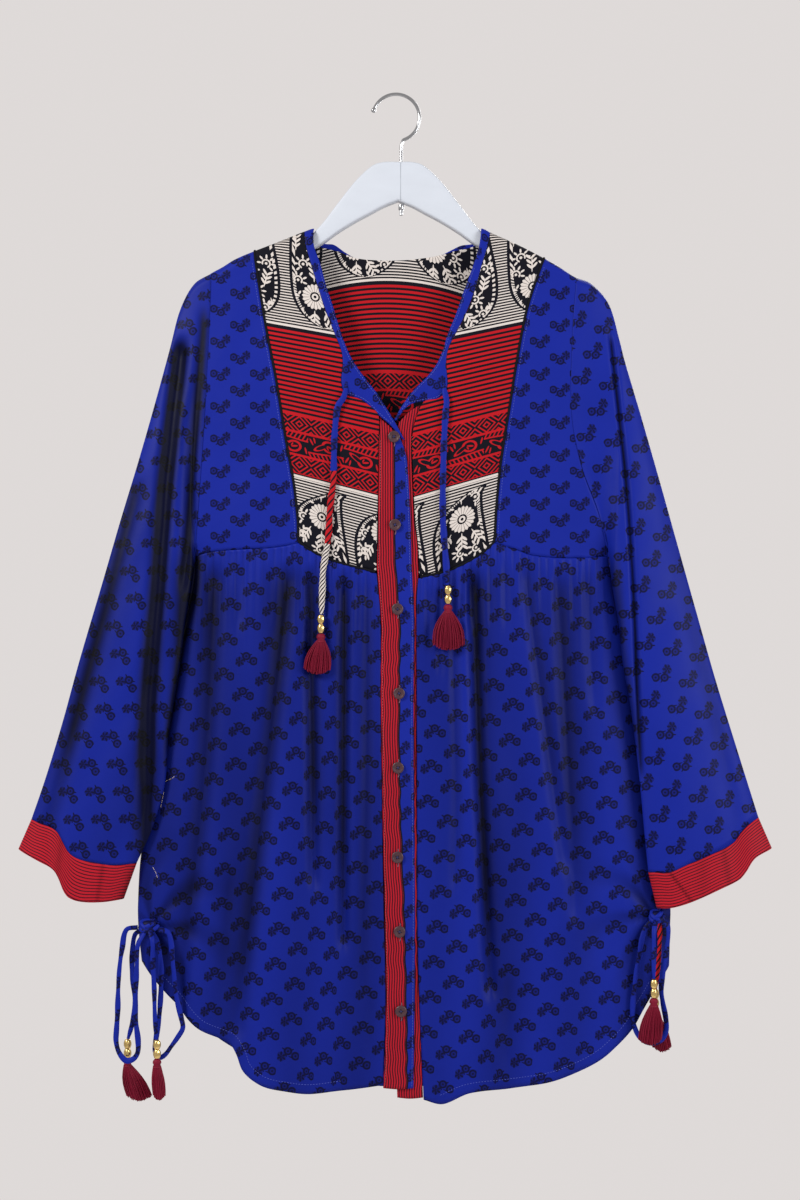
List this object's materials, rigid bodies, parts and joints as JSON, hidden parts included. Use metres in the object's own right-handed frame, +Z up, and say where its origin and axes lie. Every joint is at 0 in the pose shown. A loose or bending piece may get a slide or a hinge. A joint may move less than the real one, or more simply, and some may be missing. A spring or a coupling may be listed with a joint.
{
  "type": "tunic top on a hanger",
  "caption": "Gathered tunic top with a bordered yoke, buttoned placket, flared cuffed sleeves and tasselled drawcords, hung on a shaped wooden hanger with a wire hook.",
  "frame": {"origin": "inner top of the hanger's hook, where a rail carries it", "axes": "+Z up along the hanging garment, +X to the wearer's left, +Y from its front to its back"},
  "size_m": [0.757, 0.05, 1.0132],
  "materials": {
    "sprig_cloth": "soft woven cotton, blue with a small dark sprig",
    "border_cloth": "soft woven cotton, red, black and cream border bands",
    "stripe_cloth": "soft woven cotton, red with fine black stripes",
    "black_piping": "matt corded cotton",
    "coconut_shell": "polished dark shell",
    "gold_bead": "polished gold colour",
    "tassel_thread": "lustrous loose thread",
    "painted_wood": "smooth white paint, satin",
    "chrome": "polished"
  },
  "bodies": {
    "root": {"front_side_right": "sprig_cloth", "front_side_left": "sprig_cloth", "front_yoke_right": "border_cloth", "front_yoke_left": "border_cloth", "front_skirt_right": "sprig_cloth", "front_skirt_left": "sprig_cloth", "back_yoke": "border_cloth", "back_side_right": "sprig_cloth", "back_side_left": "sprig_cloth", "back_skirt": "sprig_cloth", "placket_over": "stripe_cloth", "placket_under": "stripe_cloth", "neck_binding_right": "sprig_cloth", "neck_binding_left": "sprig_cloth", "neck_binding_back": "sprig_cloth", "yoke_piping_right": "black_piping", "yoke_piping_left": "black_piping", "sleeve_right": "sprig_cloth", "sleeve_left": "sprig_cloth", "cuff_right": "stripe_cloth", "cuff_left": "stripe_cloth", "neck_tie_right": "sprig_cloth", "neck_tie_left": "sprig_cloth", "drawcord_knot_right": "sprig_cloth", "drawcord_knot_left": "sprig_cloth", "drawcord_right_loop_1": "sprig_cloth", "drawcord_right_loop_2": "sprig_cloth", "drawcord_right_end_1": "sprig_cloth", "drawcord_right_end_2": "sprig_cloth", "drawcord_left_loop_1": "sprig_cloth", "drawcord_left_end_1": "sprig_cloth", "drawcord_left_end_2": "sprig_cloth", "beads_neck_right": "gold_bead", "beads_neck_left": "gold_bead", "beads_side_right_1": "gold_bead", "beads_side_right_2": "gold_bead", "beads_side_left_1": "gold_bead", "beads_side_left_2": "gold_bead", "tassel_neck_right": "tassel_thread", "tassel_neck_left": "tassel_thread", "tassel_side_right_1": "tassel_thread", "tassel_side_right_2": "tassel_thread", "tassel_side_left_1": "tassel_thread", "tassel_side_left_2": "tassel_thread", "button_1": "coconut_shell", "button_2": "coconut_shell", "button_3": "coconut_shell", "button_4": "coconut_shell", "button_5": "coconut_shell", "button_6": "coconut_shell", "button_7": "coconut_shell", "button_8": "coconut_shell", "hanger_wood": "painted_wood", "hanger_hook": "chrome", "hanger_screw": "chrome"}
  },
  "joints": []
}
